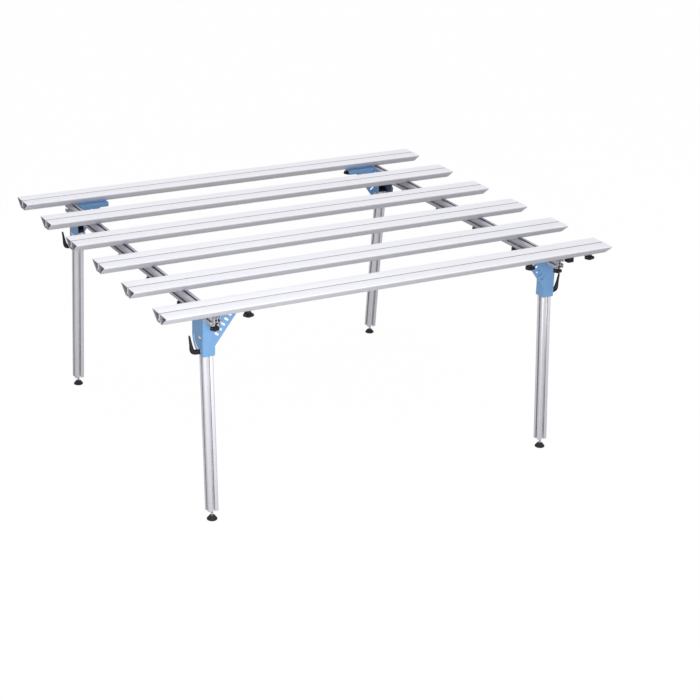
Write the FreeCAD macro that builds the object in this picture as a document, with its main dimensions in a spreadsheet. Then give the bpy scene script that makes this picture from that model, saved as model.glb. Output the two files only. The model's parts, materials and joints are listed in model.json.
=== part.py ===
import FreeCAD, Part
import math
import os

import Sketcher

# Folding workbench: aluminium slats on two slotted beams, carried by four legs that fold in under the beams.
# X runs along the slats, Y across them, Z up. The origin is on the floor under the middle of the top.

# Driving sizes, in millimetres, degrees and counts
SIZES = {
    # Whole bench
    "bench_height": 815,
    # Top slats: hollow extrusions, wide on top, with a tee slot along the underside
    "slat_count": 6,
    "slat_pitch": 276,
    "slat_length": 1800,
    "slat_width": 117,
    "slat_height": 35,
    "slat_lip": 4.5,
    "slat_foot_width": 40,
    "slat_wall": 2.5,
    "slat_web": 11,
    "slat_mouth": 8.6,
    "slat_slot_lip": 3,
    "slat_slot_width": 17,
    "slat_slot_room": 8,
    "slat_groove_width": 6,
    "slat_groove_depth": 3,
    # Slotted square bar of the beams and the legs
    "bar_side": 38,
    "bar_corner": 3.5,
    "bar_mouth": 8.6,
    "bar_lip": 4.5,
    "bar_slot_width": 20,
    "bar_cheek": 3,
    "bar_slot_floor": 9,
    "bar_slot_depth": 12.3,
    "bar_hollow": 4.6,
    "bar_hollow_wall": 2.6,
    "beam_inset": 200,
    "beam_overhang": 10,
    # Leg brackets: folded steel sheet
    "sheet_thickness": 3,
    "channel_play": 0.5,
    "bracket_inset": 55,
    "pivot_setback": 26,
    "pivot_drop": 70,
    "sector_radius": 61,
    "plate_drop": 61,
    "outer_plate_rise": 28,
    "inner_plate_depth": 47,
    "gusset_reach": 145,
    "gusset_tab_height": 18,
    "gusset_tab_length": 36,
    "gusset_drop": 26,
    "flange_overhang": 12,
    "emboss_radius": 12,
    "emboss_proud": 1.5,
    "emboss_offset": 6.5,
    "window_count": 5,
    "window_length": 20,
    "window_width": 8,
    "window_pitch": 20,
    "window_start": 38,
    "window_margin": 20,
    # Fold: each leg leans out at rest, and its clamp stud runs in a curved slot about the pivot
    "splay_angle": 4.4,
    "fold_front_angle": 90,
    "fold_back_angle": 96,
    "slot_radius": 48,
    "slot_end_angle": 0.6,
    # Fasteners and fits
    "running_clearance": 0.05,
    "stud_diameter": 8,
    "stud_play": 0.35,
    "pivot_bolt_diameter": 10,
    "pivot_head_diameter": 17,
    "pivot_head_height": 5,
    "nut_radius": 9.8,
    "nut_height": 8,
    "screw_head_diameter": 14,
    "screw_head_height": 4.5,
    "screw_setback": 14,
    "screw_pitch": 22,
    "tee_nut_length": 18,
    "tee_nut_width": 15,
    "tee_nut_height": 5,
    "stud_in_leg": 2.5,
    "stud_in_hub": 14,
    # Legs
    "leg_above": 12,
    "cap_play": 1,
    "cap_peg": 5,
    # Levelling feet: threaded stem with a ball end in a swivelling pad
    "stem_out": 24,
    "stem_in": 45,
    "stem_diameter": 10,
    "stem_neck_diameter": 6,
    "stem_neck_length": 12,
    "ball_diameter": 12,
    "ball_height": 12,
    "pad_diameter": 38,
    "pad_rim": 4.5,
    "pad_height": 16.5,
    "pad_top_diameter": 18,
    "pad_mouth_diameter": 10.8,
    "socket_play": 0.3,
    # Clamp levers
    "lever_gap": 0.3,
    "washer_diameter": 20,
    "washer_thickness": 2,
    "hub_diameter": 18,
    "hub_length": 35,
    "handle_root": 27,
    "handle_length": 62,
    "handle_base_diameter": 17,
    "handle_tip_diameter": 7,
    "handle_lean_angle": 10,
    # Star knobs: small ones under the beams, larger ones under the slats
    "knob_lobe_count": 5,
    "knob_height": 11,
    "knob_crown_height": 3,
    "beam_knob_diameter": 34,
    "beam_knob_core_diameter": 23,
    "beam_knob_lobe_diameter": 11,
    "beam_knob_crown_diameter": 14,
    "beam_knob_neck_diameter": 16,
    "beam_knob_neck_length": 6,
    "slat_knob_diameter": 40,
    "slat_knob_core_diameter": 27,
    "slat_knob_lobe_diameter": 13,
    "slat_knob_crown_diameter": 16,
    "slat_knob_neck_diameter": 18,
    "slat_knob_neck_length": 12,
    "knob_seat_gap": 0.3,
    "bracket_knob_inset": 20,
    "end_knob_offset": 142,
    # Slider block in the front slat's slot
    "slider_length": 26,
    "slider_width": 24,
    "slider_height": 22,
    "slider_offset": 50,
    # Every cut runs past its piece by this much
    "overrun": 5,
}

V = FreeCAD.Vector
doc = FreeCAD.newDocument("FoldingWorkbench")
sheet = doc.addObject("Spreadsheet::Sheet", "Sizes")
places = doc.addObject("App::VarSet", "Places")
for row, (word, number) in enumerate(SIZES.items(), start=1):
    sheet.set(f"A{row}", word)
    sheet.set(f"B{row}", str(number))
    sheet.setAlias(f"B{row}", word)
doc.recompute()


class Size:
    """An amount read from the sheet or worked out from it: its value now and the expression that binds it."""

    def __init__(self, value, text):
        self.value = value
        self.text = text

    def __add__(self, other):
        other = amount(other)
        return Size(self.value + other.value, f"({self.text} + {other.text})")

    def __radd__(self, other):
        return amount(other) + self

    def __sub__(self, other):
        other = amount(other)
        return Size(self.value - other.value, f"({self.text} - {other.text})")

    def __rsub__(self, other):
        return amount(other) - self

    def __mul__(self, other):
        other = amount(other)
        return Size(self.value * other.value, f"({self.text} * {other.text})")

    def __rmul__(self, other):
        return amount(other) * self

    def __truediv__(self, other):
        other = amount(other)
        return Size(self.value / other.value, f"({self.text} / {other.text})")

    def __neg__(self):
        return Size(-self.value, f"(-{self.text})")


def amount(number):
    return number if isinstance(number, Size) else Size(number, str(number))


def size(word):
    return Size(sheet.get(word), f"Sizes.{word}")


def count(word):
    return int(sheet.get(word))


def sine(angle):
    return Size(math.sin(math.radians(angle.value)), f"sin({angle.text} * 1 deg)")


def cosine(angle):
    return Size(math.cos(math.radians(angle.value)), f"cos({angle.text} * 1 deg)")


def hypotenuse(one, other):
    return Size(math.hypot(one.value, other.value), f"sqrt({one.text} ^ 2 + {other.text} ^ 2)")


def place(word, worked_out):
    """Names an amount that follows from the driving sizes, so that several pieces can share it."""
    places.addProperty("App::PropertyFloat", word)
    places.setExpression(word, worked_out.text)
    return Size(worked_out.value, f"Places.{word}")


def bind(thing, **amounts):
    for name, given in amounts.items():
        thing.setExpression(name, amount(given).text)


def put(thing, x=0, y=0, z=0, turn=FreeCAD.Rotation()):
    """Sets where a piece stands: its turn, and its place bound to the sheet."""
    thing.Placement = FreeCAD.Placement(V(amount(x).value, amount(y).value, amount(z).value), turn)
    for axis, given in (("x", x), ("y", y), ("z", z)):
        if isinstance(given, Size):
            thing.setExpression(f"Placement.Base.{axis}", given.text)
    return thing


ALONG_X = FreeCAD.Rotation(V(0, 1, 0), 90)
ALONG_Y = FreeCAD.Rotation(V(1, 0, 0), -90)
HALF_TURN = FreeCAD.Rotation(V(0, 0, 1), 180)
ALONG_MINUS_X = HALF_TURN * ALONG_X


def add(kind, label, **links):
    made = doc.addObject(kind, label)
    made.Label = label
    for name, linked in links.items():
        setattr(made, name, linked)
    return made


def box(label, x, y, z):
    """A block between two x, two y and two z places."""
    made = add("Part::Box", label)
    bind(made, Length=x[1] - x[0], Width=y[1] - y[0], Height=z[1] - z[0])
    return put(made, x[0], y[0], z[0])


def rod(label, radius, length, x=0, y=0, z=0, turn=FreeCAD.Rotation(), angle=None):
    """A round rod, or a slice of one, that starts at a place and runs along its own axis."""
    made = add("Part::Cylinder", label)
    bind(made, Radius=radius, Height=length)
    if angle is not None:
        bind(made, Angle=angle)
    return put(made, x, y, z, turn)


def cone(label, start_radius, end_radius, length, x=0, y=0, z=0, turn=FreeCAD.Rotation()):
    made = add("Part::Cone", label)
    bind(made, Radius1=start_radius, Radius2=end_radius, Height=length)
    return put(made, x, y, z, turn)


def ball(label, radius, x=0, y=0, z=0):
    made = add("Part::Sphere", label)
    bind(made, Radius=radius)
    return put(made, x, y, z)


def fused(label, *shapes):
    return add("Part::MultiFuse", label, Shapes=list(shapes), Refine=True)


def cut(label, base, *tools):
    tool = tools[0] if len(tools) == 1 else add("Part::MultiFuse", f"{label}_cuts", Shapes=list(tools))
    return add("Part::Cut", label, Base=base, Tool=tool, Refine=True)


def group(label, *shapes):
    return add("Part::Compound", label, Links=list(shapes))


def copy_at(label, source, x=0, y=0, z=0, turn=FreeCAD.Rotation()):
    return put(group(label, source), x, y, z, turn)


def outline(body, label, role, rings, circles=()):
    """A sketch on one of the body's own planes, every corner and circle bound to the sheet."""
    sketch = body.newObject("Sketcher::SketchObject", label)
    plane = next(found for found in body.Origin.OriginFeatures if found.Role == role)
    sketch.AttachmentSupport = (plane, [""])
    sketch.MapMode = "FlatFace"
    lines, rules, bound = [], [], []

    def fix(line, end, u, v):
        for kind, axis, given in (("DistanceX", -2, u), ("DistanceY", -1, v)):
            if isinstance(given, Size):
                bound.append((len(rules), given.text))
                rules.append(Sketcher.Constraint(kind, line, end, given.value))
            else:
                rules.append(Sketcher.Constraint("PointOnObject", line, end, axis))

    for ring in rings:
        first = len(lines)
        corners = [V(amount(u).value, amount(v).value, 0) for u, v in ring]
        for step, (start, end) in enumerate(zip(corners, corners[1:] + corners[:1])):
            lines.append(Part.LineSegment(start, end))
            following = first + (step + 1) % len(ring)
            rules.append(Sketcher.Constraint("Coincident", first + step, 2, following, 1))
            fix(first + step, 1, *ring[step])
    for u, v, radius in circles:
        lines.append(Part.Circle(V(amount(u).value, amount(v).value, 0), V(0, 0, 1), radius.value))
        fix(len(lines) - 1, 3, u, v)
        bound.append((len(rules), radius.text))
        rules.append(Sketcher.Constraint("Radius", len(lines) - 1, radius.value))
    sketch.addGeometry(lines)
    sketch.addConstraint(rules)
    for number, text in bound:
        sketch.setExpression(f"Constraints[{number}]", text)
    return sketch


def feature(body, kind, label, sketch, side="One side", through=False, backwards=False, **lengths):
    made = body.newObject(f"PartDesign::{kind}", label)
    made.Profile = sketch
    made.SideType = side
    made.Reversed = backwards
    if through:
        made.Type = "ThroughAll"
    bind(made, **lengths)
    return made


nodes = {}


def keep(node, thing):
    thing.Label = node
    nodes[node] = thing
    return thing


# Levels and places that several pieces share
slat_bottom = place("slat_bottom", size("bench_height") - size("slat_height"))
beam_bottom = place("beam_bottom", slat_bottom - size("bar_side"))
beam_middle = place("beam_middle", slat_bottom - size("bar_side") / 2)
pivot_z = place("pivot_z", beam_bottom - size("pivot_drop"))
first_slat_y = size("slat_pitch") * (1 - size("slat_count")) / 2
slat_places = [first_slat_y + size("slat_pitch") * number for number in range(count("slat_count"))]
outer_slat_y = place("outer_slat_y", slat_places[-1])
front_slat_y = -outer_slat_y
beam_length = place("beam_length", (outer_slat_y + size("beam_overhang")) * 2)
plate_face = place("plate_face", beam_length / 2 - size("bracket_inset"))
pivot_y = place("pivot_y", plate_face - size("sheet_thickness") - size("pivot_setback"))
leg_x = place("leg_x", size("slat_length") / 2 - size("beam_inset"))
channel_half = place("channel_half", size("bar_side") / 2 + size("channel_play"))
outer_face = place("outer_face", leg_x + channel_half + size("sheet_thickness"))
inner_face = place("inner_face", leg_x - channel_half - size("sheet_thickness"))
leg_reach = place("leg_reach", (pivot_z - size("ball_height")) / cosine(size("splay_angle")))
leg_below = place("leg_below", leg_reach - size("stem_out"))
stud_y = place("stud_y", pivot_y + size("slot_radius") * sine(size("splay_angle")))
stud_z = place("stud_z", pivot_z - size("slot_radius") * cosine(size("splay_angle")))
foot_y = place("foot_y", pivot_y + leg_reach * sine(size("splay_angle")))
stud_hole = place("stud_hole", size("stud_diameter") / 2 + size("stud_play"))
flange_knob_x = place("flange_knob_x", leg_x - size("gusset_reach") + size("bracket_knob_inset"))

SPLAYED = FreeCAD.Rotation(V(1, 0, 0), sheet.get("splay_angle"))


def at_corners(name, back, front=None):
    """Stands a back right piece at all four corners, by mirroring and by a half turn."""
    front = front or back
    return {
        "back_right": copy_at(f"{name}_back_right", back),
        "back_left": add("Part::Mirroring", f"{name}_back_left", Source=back, Normal=V(1, 0, 0)),
        "front_right": add("Part::Mirroring", f"{name}_front_right", Source=front, Normal=V(0, 1, 0)),
        "front_left": copy_at(f"{name}_front_left", front, turn=HALF_TURN),
    }


def keep_corners(name, back, front=None):
    for corner, piece in at_corners(name, back, front).items():
        keep(f"{name}_{corner}", piece)


def group_of_corners(name, back):
    return keep(name, group(name, *at_corners(f"{name}_at", back).values()))


# Top slats
def slat(label):
    width, height, foot = size("slat_width"), size("slat_height"), size("slat_foot_width")
    wall, lip = size("slat_wall"), size("slat_lip")
    groove, mouth, slot = size("slat_groove_width") / 2, size("slat_mouth") / 2, size("slat_slot_width") / 2
    slot_lip = size("slat_slot_lip")
    slot_roof = slot_lip + size("slat_slot_room")
    half = [
        (groove, height - size("slat_groove_depth")),
        (groove, height),
        (width / 2, height),
        (width / 2, height - lip),
        (foot / 2, 0),
        (mouth, 0),
        (mouth, slot_lip),
        (slot, slot_lip),
        (slot, slot_roof),
    ]
    whole = half + [(-u, v) for u, v in reversed(half)]
    rise, run = height - lip, (width - foot) / 2
    skin = wall * hypotenuse(rise, run) / rise

    def inside_flank(level):
        return foot / 2 + level * run / rise - skin

    web = size("slat_web") / 2
    chamber = [
        (web, height - wall),
        (inside_flank(height - wall), height - wall),
        (inside_flank(wall), wall),
        (slot + wall, wall),
        (slot + wall, slot_roof + wall),
        (web, slot_roof + wall),
    ]
    body = add("PartDesign::Body", label)
    section = outline(body, f"{label}_section", "YZ_Plane", [whole, chamber, [(-u, v) for u, v in chamber]])
    feature(body, "Pad", f"{label}_run", section, side="Symmetric", Length=size("slat_length"))
    return body


for number, slat_y in enumerate(slat_places, start=1):
    keep(f"top_slat_{number}", put(slat(f"top_slat_{number}"), 0, slat_y, slat_bottom))


# Slotted square bar, the section of the beams and the legs
def bar_section(body, label, role):
    half, corner = size("bar_side") / 2, size("bar_corner")
    mouth, lip, slot = size("bar_mouth") / 2, size("bar_lip"), size("bar_slot_width") / 2
    cheek, floor, depth = size("bar_cheek"), size("bar_slot_floor") / 2, size("bar_slot_depth")
    right_half = [
        (half - corner, half),
        (mouth, half),
        (mouth, half - lip),
        (slot, half - lip),
        (slot, half - lip - cheek),
        (floor, half - depth),
    ]
    face = right_half + [(-u, v) for u, v in reversed(right_half)]
    far = half - size("bar_hollow_wall")
    near = far - size("bar_hollow")
    hollow = [(far, far), (near, far), (near, near), (far, near)]

    def quarter_turned(points):
        return [(-v, u) for u, v in points]

    ring, hollows = [], []
    for quarter in range(4):
        ring = ring + face
        hollows.append(hollow)
        face = quarter_turned(face)
        hollow = quarter_turned(hollow)
    bore = size("stem_diameter") / 2 + size("running_clearance")
    return outline(body, f"{label}_section", role, [ring, *hollows], [(0, 0, bore)])


# Cross beams, drilled upright at every slat for the knob studs
def beam(label):
    body = add("PartDesign::Body", label)
    section = bar_section(body, label, "XZ_Plane")
    feature(body, "Pad", f"{label}_run", section, side="Symmetric", Length=beam_length)
    holes = [(0, slat_y, stud_hole) for slat_y in slat_places]
    drilling = outline(body, f"{label}_drilling", "XY_Plane", [], holes)
    feature(body, "Pocket", f"{label}_holes", drilling, side="Symmetric", through=True)
    return body


keep("cross_beam_left", put(beam("cross_beam_left"), -leg_x, 0, beam_middle))
keep("cross_beam_right", put(beam("cross_beam_right"), leg_x, 0, beam_middle))


# Leg brackets, drawn for the back right corner
QUARTER_TURN = amount(90)
screw_places = [plate_face - size("screw_setback") - size("screw_pitch") * step for step in range(2)]
bolt_hole = place("bolt_hole", size("pivot_bolt_diameter") / 2 + size("running_clearance"))


def around_pivot(angle):
    """Turns a rod to run in from outside, so that a slice of it starts at an angle past straight down."""
    start = V(0, -math.sin(math.radians(angle)), -math.cos(math.radians(angle)))
    inwards = V(-1, 0, 0)
    return FreeCAD.Rotation(start, inwards.cross(start), inwards, "ZXY")


def curved_slot(label, fold):
    """The path of the clamp stud through the sector plate, round at both ends."""
    outside, depth = outer_face + size("overrun"), size("sheet_thickness") + size("overrun") * 2
    radius, margin = size("slot_radius"), size("slot_end_angle")
    first = -size("splay_angle") - margin
    sweep = fold + margin * 2
    turn = around_pivot(first.value)
    wide = rod(f"{label}_wide", radius + stud_hole, depth, outside, pivot_y, pivot_z, turn, sweep)
    narrow = rod(f"{label}_narrow", radius - stud_hole, depth, outside, pivot_y, pivot_z, turn)
    ends = [
        rod(
            f"{label}_end_{name}",
            stud_hole,
            depth,
            outside,
            pivot_y - radius * sine(angle),
            pivot_z - radius * cosine(angle),
            turn,
        )
        for name, angle in (("rest", first), ("folded", first + sweep))
    ]
    return fused(label, cut(f"{label}_arc", wide, narrow), *ends)


def plate_windows(label, low_x, low_z, high_x, high_z):
    """A row of plain oblong windows beside the slanting edge of the gusset."""
    edge_length = hypotenuse(high_x - low_x, high_z - low_z)
    along_x, along_z = (high_x - low_x) / edge_length, (high_z - low_z) / edge_length
    across_x, across_z = along_z, -along_x
    slanting = FreeCAD.Rotation(V(0, 1, 0), math.degrees(math.atan2(along_x.value, along_z.value)))
    half_width = size("window_width") / 2
    straight = (size("window_length") - size("window_width")) / 2
    start_y = plate_face - size("sheet_thickness") - size("overrun")
    depth = size("sheet_thickness") + size("overrun") * 2
    windows = []
    for number in range(count("window_count")):
        reach = size("window_start") + size("window_pitch") * number
        middle_x = low_x + along_x * reach + across_x * size("window_margin")
        middle_z = low_z + along_z * reach + across_z * size("window_margin")
        ends = [
            rod(
                f"{label}_{number}_{name}",
                half_width,
                depth,
                middle_x + across_x * shift,
                start_y,
                middle_z + across_z * shift,
                ALONG_Y,
            )
            for name, shift in (("near", -straight), ("far", straight))
        ]
        slab = add("Part::Box", f"{label}_{number}_slab")
        bind(slab, Length=straight * 2, Width=depth, Height=size("window_width"))
        slab_x = middle_x - across_x * straight - along_x * half_width
        slab_z = middle_z - across_z * straight - along_z * half_width
        put(slab, slab_x, start_y, slab_z, slanting)
        windows.append(fused(f"{label}_{number}", slab, *ends))
    return windows


def bracket(label, fold):
    sheet_metal, radius = size("sheet_thickness"), size("sector_radius")
    plate_inside = plate_face - sheet_metal
    plate_bottom = pivot_z - size("plate_drop")
    outer_inside, inner_outside = outer_face - sheet_metal, inner_face + sheet_metal
    reach_x = leg_x - size("gusset_reach")
    tab_x = reach_x + size("gusset_tab_length")
    tab_z = slat_bottom - size("gusset_tab_height")
    low_z = pivot_z - size("gusset_drop")
    notch_z = beam_bottom - size("channel_play")
    outer_top = beam_bottom + size("outer_plate_rise")

    gusset = add("PartDesign::Body", f"{label}_gusset")
    gusset_ring = [
        (outer_face, plate_bottom),
        (outer_face, outer_top),
        (outer_inside, outer_top),
        (outer_inside, notch_z),
        (inner_outside, notch_z),
        (inner_outside, slat_bottom),
        (reach_x, slat_bottom),
        (reach_x, tab_z),
        (tab_x, tab_z),
        (inner_face, low_z),
        (inner_face, plate_bottom),
    ]
    shape = outline(gusset, f"{label}_gusset_outline", "XZ_Plane", [gusset_ring])
    feature(gusset, "Pad", f"{label}_gusset_sheet", shape, Length=sheet_metal)
    put(gusset, 0, plate_face, 0)

    outer_x, inner_x = (outer_inside, outer_face), (inner_face, inner_outside)
    inward_y = pivot_y - radius
    inner_depth_y = plate_face - size("inner_plate_depth")
    flange_y = outer_slat_y + size("flange_overhang")
    flange_z = (slat_bottom - sheet_metal, slat_bottom)
    shell = fused(
        f"{label}_shell",
        gusset,
        box(f"{label}_upper", outer_x, (inward_y, plate_face), (pivot_z, outer_top)),
        box(f"{label}_lower", outer_x, (pivot_y, plate_face), (pivot_z - radius, pivot_z)),
        rod(
            f"{label}_sector",
            radius,
            sheet_metal,
            outer_face,
            pivot_y,
            pivot_z,
            around_pivot(0),
            QUARTER_TURN,
        ),
        box(f"{label}_inner", inner_x, (inner_depth_y, plate_face), (plate_bottom, slat_bottom)),
        box(f"{label}_flange", (reach_x, inner_outside), (plate_inside, flange_y), flange_z),
        rod(
            f"{label}_emboss",
            size("emboss_radius"),
            sheet_metal + size("emboss_proud"),
            leg_x - size("emboss_offset"),
            plate_inside,
            pivot_z,
            ALONG_Y,
        ),
    )
    across_x = inner_face - size("overrun")
    across = outer_face - inner_face + size("overrun") * 2
    drilled = [rod(f"{label}_pivot_hole", bolt_hole, across, across_x, pivot_y, pivot_z, ALONG_X)]
    for number, screw_y in enumerate(screw_places):
        name = f"{label}_screw_{number}"
        drilled.append(rod(name, stud_hole, across, across_x, screw_y, beam_middle, ALONG_X))
    knob_hole_z = slat_bottom - sheet_metal - size("overrun")
    knob_hole_length = sheet_metal + size("overrun") * 2
    name = f"{label}_knob"
    drilled.append(rod(name, stud_hole, knob_hole_length, flange_knob_x, outer_slat_y, knob_hole_z))
    windows = plate_windows(f"{label}_window", inner_face, low_z, tab_x, tab_z)
    return cut(label, shell, curved_slot(f"{label}_slot", fold), *drilled, *windows)


back_bracket = bracket("bracket_back", size("fold_back_angle"))
front_bracket = bracket("bracket_front", size("fold_front_angle"))
keep_corners("leg_bracket", back_bracket, front_bracket)


# Tee nut that fills a slot under its lips, drawn with its hole along Z
def tee_nut(label):
    length, width, height = size("tee_nut_length") / 2, size("tee_nut_width") / 2, size("tee_nut_height")
    block = box(f"{label}_block", (-length, length), (-width, width), (amount(0), height))
    hole = size("stud_diameter") / 2 + size("running_clearance")
    drill = rod(f"{label}_drill", hole, height + size("overrun") * 2, 0, 0, -size("overrun"))
    return cut(label, block, drill)


nut = tee_nut("tee_nut")

# Screws and tee nuts that hold the side plates of a bracket to the slots of its beam
nut_depth = place("nut_depth", size("bar_side") / 2 - size("bar_lip") - size("tee_nut_height"))
screw_length = size("sheet_thickness") + size("channel_play") + size("bar_lip") + size("tee_nut_height")
screw = fused(
    "bracket_screw",
    rod("bracket_screw_shank", size("stud_diameter") / 2, screw_length, 0, 0, -screw_length),
    rod("bracket_screw_head", size("screw_head_diameter") / 2, size("screw_head_height")),
)
NUT_OUTWARD = FreeCAD.Rotation(V(0, 0, 1), V(0, 1, 0), V(1, 0, 0), "ZXY") * FreeCAD.Rotation(V(0, 0, 1), 90)
NUT_INWARD = HALF_TURN * NUT_OUTWARD
screws, nuts = [], []
for number, screw_y in enumerate(screw_places):
    screws.append(copy_at(f"screw_outer_{number}", screw, outer_face, screw_y, beam_middle, ALONG_X))
    screws.append(copy_at(f"screw_inner_{number}", screw, inner_face, screw_y, beam_middle, ALONG_MINUS_X))
    nuts.append(copy_at(f"nut_outer_{number}", nut, leg_x + nut_depth, screw_y, beam_middle, NUT_OUTWARD))
    nuts.append(copy_at(f"nut_inner_{number}", nut, leg_x - nut_depth, screw_y, beam_middle, NUT_INWARD))
group_of_corners("bracket_screws", group("corner_screws", *screws))
group_of_corners("beam_tee_nuts", group("corner_nuts", *nuts))

# Pivot bolts through the brackets and the legs, with nuts on the inner plates
pivot_length = outer_face - inner_face + size("nut_height")
pivot_start = inner_face - size("nut_height")
pivot_bolt = fused(
    "pivot_bolt",
    rod("pivot_shank", size("pivot_bolt_diameter") / 2, pivot_length, pivot_start, pivot_y, pivot_z, ALONG_X),
    rod(
        "pivot_head",
        size("pivot_head_diameter") / 2,
        size("pivot_head_height"),
        outer_face,
        pivot_y,
        pivot_z,
        ALONG_X,
    ),
)
group_of_corners("pivot_bolts", pivot_bolt)
hexagon = add("Part::Prism", "pivot_nut_hexagon", Polygon=6)
bind(hexagon, Circumradius=size("nut_radius"), Height=size("nut_height"))
put(hexagon, pivot_start, pivot_y, pivot_z, ALONG_X)
thread_start = pivot_start - size("overrun")
thread_length = size("nut_height") + size("overrun") * 2
thread = rod("pivot_nut_thread", bolt_hole, thread_length, thread_start, pivot_y, pivot_z, ALONG_X)
group_of_corners("pivot_nuts", cut("pivot_nut", hexagon, thread))


# Legs: slotted bar from just above the pivot down to the foot, drilled for the pivot bolt and the clamp stud
def leg(label):
    body = add("PartDesign::Body", label)
    section = bar_section(body, label, "XY_Plane")
    above = size("leg_above")
    feature(body, "Pad", f"{label}_run", section, side="Two sides", Length=above, Length2=leg_below)
    pivot = outline(body, f"{label}_pivot", "YZ_Plane", [], [(0, 0, bolt_hole)])
    feature(body, "Pocket", f"{label}_pivot_hole", pivot, side="Symmetric", through=True)
    stud_fit = size("stud_diameter") / 2 + size("running_clearance")
    stud = outline(body, f"{label}_stud", "YZ_Plane", [], [(0, -size("slot_radius"), stud_fit)])
    feature(body, "Pocket", f"{label}_stud_hole", stud, through=True, backwards=True)
    return put(body, leg_x, pivot_y, pivot_z, SPLAYED)


keep_corners("leg", leg("leg"))


# Cap on the upper end of a leg, rounded about the pivot so that it clears the bracket as the leg folds
def leg_cap(label):
    half, radius = size("bar_side") / 2, size("pivot_setback") - size("cap_play")
    block = box(f"{label}_block", (-half, half), (-half, half), (size("leg_above"), radius))
    round_top = rod(f"{label}_round", radius, size("bar_side"), -half, 0, 0, ALONG_X)
    dome = add("Part::MultiCommon", f"{label}_dome", Shapes=[block, round_top])
    peg_z = size("leg_above") - size("cap_peg")
    peg_top = (size("leg_above") + radius) / 2
    peg = rod(f"{label}_peg", size("stem_diameter") / 2, peg_top - peg_z, 0, 0, peg_z)
    return put(fused(label, dome, peg), leg_x, pivot_y, pivot_z, SPLAYED)


keep_corners("leg_cap", leg_cap("leg_cap"))


# Levelling feet: ball-ended stem screwed into the bore of the leg
def foot_stem(label):
    ball_z = -(leg_below + size("stem_out"))
    thread_z = ball_z + size("stem_neck_length")
    thread_length = size("stem_out") - size("stem_neck_length") + size("stem_in")
    stem = fused(
        label,
        ball(f"{label}_ball", size("ball_diameter") / 2, 0, 0, ball_z),
        rod(f"{label}_neck", size("stem_neck_diameter") / 2, size("stem_neck_length"), 0, 0, ball_z),
        rod(f"{label}_thread", size("stem_diameter") / 2, thread_length, 0, 0, thread_z),
    )
    return put(stem, leg_x, pivot_y, pivot_z, SPLAYED)


keep_corners("foot_stem", foot_stem("foot_stem"))


# Swivelling pad round the ball, flat on the floor
def foot_pad(label):
    rim, top = size("pad_diameter") / 2, size("pad_top_diameter") / 2
    flank = size("pad_height") - size("pad_rim")
    solid = fused(
        f"{label}_solid",
        rod(f"{label}_rim", rim, size("pad_rim"), leg_x, foot_y),
        cone(f"{label}_flank", rim, top, flank, leg_x, foot_y, size("pad_rim")),
    )
    socket = size("ball_diameter") / 2 + size("socket_play")
    mouth = size("pad_mouth_diameter") / 2
    return cut(
        label,
        solid,
        ball(f"{label}_socket", socket, leg_x, foot_y, size("ball_height")),
        rod(f"{label}_mouth", mouth, size("pad_height"), leg_x, foot_y, size("ball_height")),
    )


keep_corners("foot_pad", foot_pad("foot_pad"))

# Clamp stud with its washer, through the curved slot into the leg
stud_start = leg_x + size("bar_side") / 2 - size("bar_slot_depth") - size("stud_in_leg")
washer_x = place("washer_x", outer_face + size("lever_gap"))
hub_x = place("hub_x", washer_x + size("washer_thickness"))
stud_length = hub_x + size("stud_in_hub") - stud_start
washer_radius = size("washer_diameter") / 2
clamp_stud = fused(
    "clamp_stud",
    rod("clamp_stud_shank", size("stud_diameter") / 2, stud_length, stud_start, stud_y, stud_z, ALONG_X),
    rod("clamp_washer", washer_radius, size("washer_thickness"), washer_x, stud_y, stud_z, ALONG_X),
)
keep_corners("clamp_stud", clamp_stud)


# Clamp lever: hub on the stud, tapering handle that leans out
def clamp_lever(label):
    handle_x = hub_x + size("handle_root")
    lean = FreeCAD.Rotation(V(0, 1, 0), sheet.get("handle_lean_angle"))
    tip_x = handle_x + size("handle_length") * sine(size("handle_lean_angle"))
    tip_z = stud_z + size("handle_length") * cosine(size("handle_lean_angle"))
    base, tip = size("handle_base_diameter") / 2, size("handle_tip_diameter") / 2
    solid = fused(
        f"{label}_solid",
        rod(f"{label}_hub", size("hub_diameter") / 2, size("hub_length"), hub_x, stud_y, stud_z, ALONG_X),
        cone(f"{label}_handle", base, tip, size("handle_length"), handle_x, stud_y, stud_z, lean),
        ball(f"{label}_tip", tip, tip_x, stud_y, tip_z),
    )
    hole = size("stud_diameter") / 2 + size("running_clearance")
    depth = size("stud_in_hub") + size("overrun")
    drill = rod(f"{label}_drill", hole, depth, hub_x - size("overrun"), stud_y, stud_z, ALONG_X)
    return cut(label, solid, drill)


keep_corners("clamp_lever", clamp_lever("clamp_lever"))


# Star knobs, drawn with the neck's seat at the origin and the stud upwards
def star_knob(label, kind, reach):
    core, lobe = size(f"{kind}_knob_core_diameter") / 2, size(f"{kind}_knob_lobe_diameter") / 2
    crown, neck = size(f"{kind}_knob_crown_diameter") / 2, size(f"{kind}_knob_neck_diameter") / 2
    neck_length = size(f"{kind}_knob_neck_length")
    star_z = -(neck_length + size("knob_height"))
    crown_z = star_z - size("knob_crown_height")
    lobe_circle = size(f"{kind}_knob_diameter") / 2 - lobe
    lobes = []
    for number in range(count("knob_lobe_count")):
        turn = FULL_TURN * number / size("knob_lobe_count")
        lobe_x, lobe_y = lobe_circle * cosine(turn), lobe_circle * sine(turn)
        lobes.append(rod(f"{label}_lobe_{number}", lobe, size("knob_height"), lobe_x, lobe_y, star_z))
    return fused(
        label,
        rod(f"{label}_neck", neck, neck_length, 0, 0, -neck_length),
        rod(f"{label}_core", core, size("knob_height"), 0, 0, star_z),
        cone(f"{label}_crown", crown, core, size("knob_crown_height"), 0, 0, crown_z),
        rod(f"{label}_stud", size("stud_diameter") / 2, reach, 0, 0, 0),
        *lobes,
    )


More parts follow.
